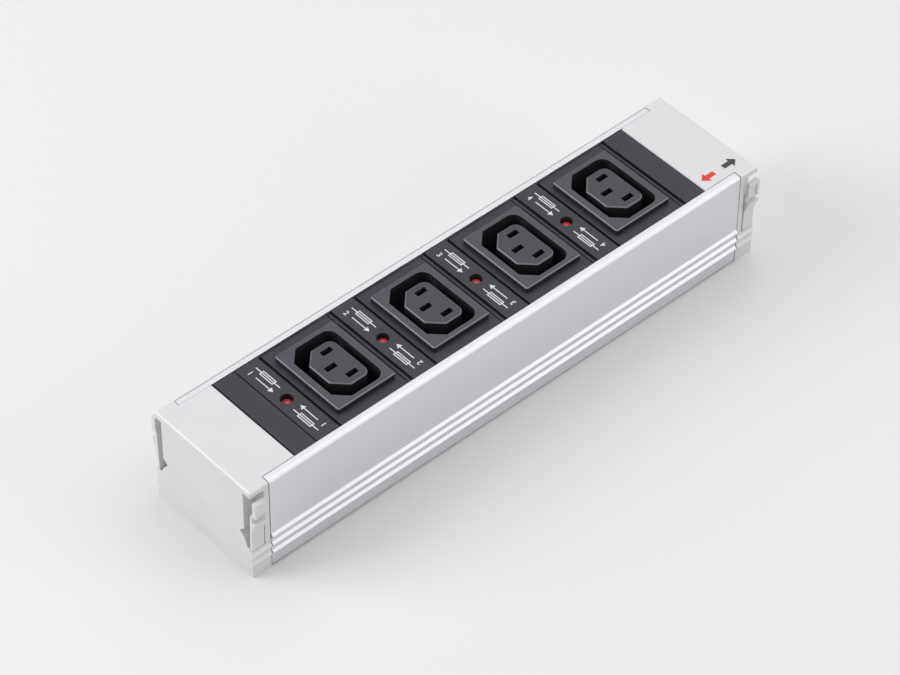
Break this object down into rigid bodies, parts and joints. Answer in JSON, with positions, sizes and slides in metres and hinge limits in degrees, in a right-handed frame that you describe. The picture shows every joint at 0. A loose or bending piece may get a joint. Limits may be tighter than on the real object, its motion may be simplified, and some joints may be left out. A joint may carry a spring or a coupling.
{
  "type": "rack socket module",
  "caption": "Aluminium rack power bar with mains outlets in a dark fascia, a red reset button beside each outlet, moulded end caps with snap latches and a plug underneath.",
  "frame": {"origin": "middle of the underside, on the plane that the end caps stand on", "axes": "+X along the bar, +Y across it to the rear latches, +Z out of the socket face"},
  "size_m": [0.25, 0.0578, 0.046],
  "materials": {
    "aluminium_profile": "satin anodised",
    "cap_plastic": "fine grain",
    "fascia_plastic": "fine grain",
    "outlet_plastic": "satin",
    "insulator_plastic": "matt",
    "button_red": "gloss",
    "brass_strip": "plain",
    "screw_steel": "zinc plated",
    "spring_steel": "plain"
  },
  "bodies": {
    "module": {"housing_profile": "aluminium_profile", "end_cap_left": "cap_plastic", "end_cap_right": "cap_plastic", "blank_strip_left": "fascia_plastic", "blank_strip_right": "fascia_plastic", "live_bus": "brass_strip", "neutral_bus": "brass_strip", "earth_bus": "brass_strip", "bus_tray": "insulator_plastic", "earth_bond_screw": "screw_steel", "plug_housing": "insulator_plastic", "plug_blades": "brass_strip", "plug_screws": "screw_steel", "fuse_strip_1": "fascia_plastic", "fuse_strip_2": "fascia_plastic", "fuse_strip_3": "fascia_plastic", "fuse_strip_4": "fascia_plastic", "outlet_seat_1": "fascia_plastic", "outlet_seat_2": "fascia_plastic", "outlet_seat_3": "fascia_plastic", "outlet_seat_4": "fascia_plastic", "outlet_frame_1": "outlet_plastic", "outlet_frame_2": "outlet_plastic", "outlet_frame_3": "outlet_plastic", "outlet_frame_4": "outlet_plastic", "outlet_core_1": "outlet_plastic", "outlet_core_2": "outlet_plastic", "outlet_core_3": "outlet_plastic", "outlet_core_4": "outlet_plastic", "outlet_contacts_1": "brass_strip", "outlet_contacts_2": "brass_strip", "outlet_contacts_3": "brass_strip", "outlet_contacts_4": "brass_strip", "breaker_body_1": "insulator_plastic", "breaker_body_2": "insulator_plastic", "breaker_body_3": "insulator_plastic", "breaker_body_4": "insulator_plastic", "breaker_link_1": "brass_strip", "breaker_link_2": "brass_strip", "breaker_link_3": "brass_strip", "breaker_link_4": "brass_strip"},
    "latch_left_front": {"latch_left_front": "cap_plastic"},
    "latch_left_rear": {"latch_left_rear": "cap_plastic"},
    "latch_right_front": {"latch_right_front": "cap_plastic"},
    "latch_right_rear": {"latch_right_rear": "cap_plastic"},
    "reset_button_1": {"reset_button_1": "button_red", "button_spring_1": "spring_steel"},
    "reset_button_2": {"reset_button_2": "button_red", "button_spring_2": "spring_steel"},
    "reset_button_3": {"reset_button_3": "button_red", "button_spring_3": "spring_steel"},
    "reset_button_4": {"reset_button_4": "button_red", "button_spring_4": "spring_steel"}
  },
  "joints": [
    {"name": "latch_left_front_flex", "type": "hinge", "parent": "module", "child": "latch_left_front", "pos_m": [-0.1221, -0.026, 0.0144], "axis": [-1, 0, 0], "range_deg": [0, 8], "stiffness_Nm_per_rad": 0.3},
    {"name": "latch_left_rear_flex", "type": "hinge", "parent": "module", "child": "latch_left_rear", "pos_m": [-0.1221, 0.026, 0.0144], "axis": [1, 0, 0], "range_deg": [0, 8], "stiffness_Nm_per_rad": 0.3},
    {"name": "latch_right_front_flex", "type": "hinge", "parent": "module", "child": "latch_right_front", "pos_m": [0.1221, -0.026, 0.0144], "axis": [-1, 0, 0], "range_deg": [0, 8], "stiffness_Nm_per_rad": 0.3},
    {"name": "latch_right_rear_flex", "type": "hinge", "parent": "module", "child": "latch_right_rear", "pos_m": [0.1221, 0.026, 0.0144], "axis": [1, 0, 0], "range_deg": [0, 8], "stiffness_Nm_per_rad": 0.3},
    {"name": "reset_button_1_press", "type": "slide", "parent": "module", "child": "reset_button_1", "axis": [0, 0, 1], "range_m": [-0.0008, 0.002], "stiffness_N_per_m": 300, "deforming": ["button_spring_1"]},
    {"name": "reset_button_2_press", "type": "slide", "parent": "module", "child": "reset_button_2", "axis": [0, 0, 1], "range_m": [-0.0008, 0.002], "stiffness_N_per_m": 300, "deforming": ["button_spring_2"]},
    {"name": "reset_button_3_press", "type": "slide", "parent": "module", "child": "reset_button_3", "axis": [0, 0, 1], "range_m": [-0.0008, 0.002], "stiffness_N_per_m": 300, "deforming": ["button_spring_3"]},
    {"name": "reset_button_4_press", "type": "slide", "parent": "module", "child": "reset_button_4", "axis": [0, 0, 1], "range_m": [-0.0008, 0.002], "stiffness_N_per_m": 300, "deforming": ["button_spring_4"]}
  ]
}
